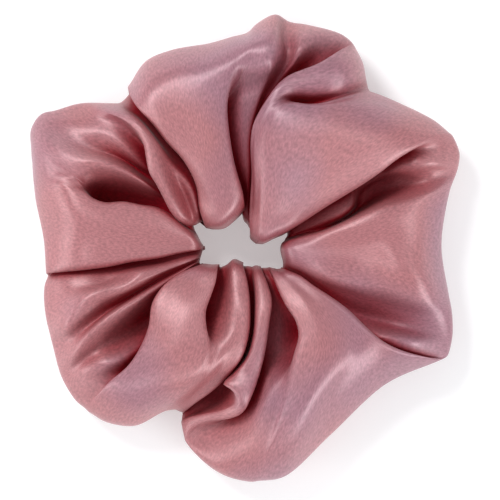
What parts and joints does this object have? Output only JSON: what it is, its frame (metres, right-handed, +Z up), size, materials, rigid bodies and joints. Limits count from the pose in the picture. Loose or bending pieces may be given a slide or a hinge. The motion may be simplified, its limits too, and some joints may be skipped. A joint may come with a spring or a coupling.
{
  "type": "scrunchie",
  "caption": "Gathered satin hair scrunchie: a ruffled fabric tube over a joined ring of flat elastic, lying flat, able to stretch sideways.",
  "frame": {"origin": "under the middle of the ring, on the surface it lies on", "axes": "+Z up through the ring's hole, +Y along its longer way across, +X the way it stretches"},
  "size_m": [0.1075, 0.1174, 0.03],
  "materials": {
    "satin": "dusty pink satin with soft highlights",
    "elastic": "matt braided flat elastic",
    "sewing_thread": "spun polyester sewing thread"
  },
  "bodies": {
    "left_half": {"satin_cover_left": "satin", "elastic_band_left": "elastic", "long_seam_thread_left": "sewing_thread", "closing_stitch_thread": "sewing_thread", "end_seam_thread": "sewing_thread"},
    "right_half": {"satin_cover_right": "satin", "elastic_band_right_inner_end": "elastic", "elastic_band_right_outer_end": "elastic", "elastic_join_thread": "sewing_thread", "long_seam_thread_right": "sewing_thread"}
  },
  "joints": [
    {"name": "stretch", "type": "slide", "parent": "left_half", "child": "right_half", "axis": [1, 0, 0], "range_m": [0, 0.08], "stiffness_N_per_m": 100}
  ]
}
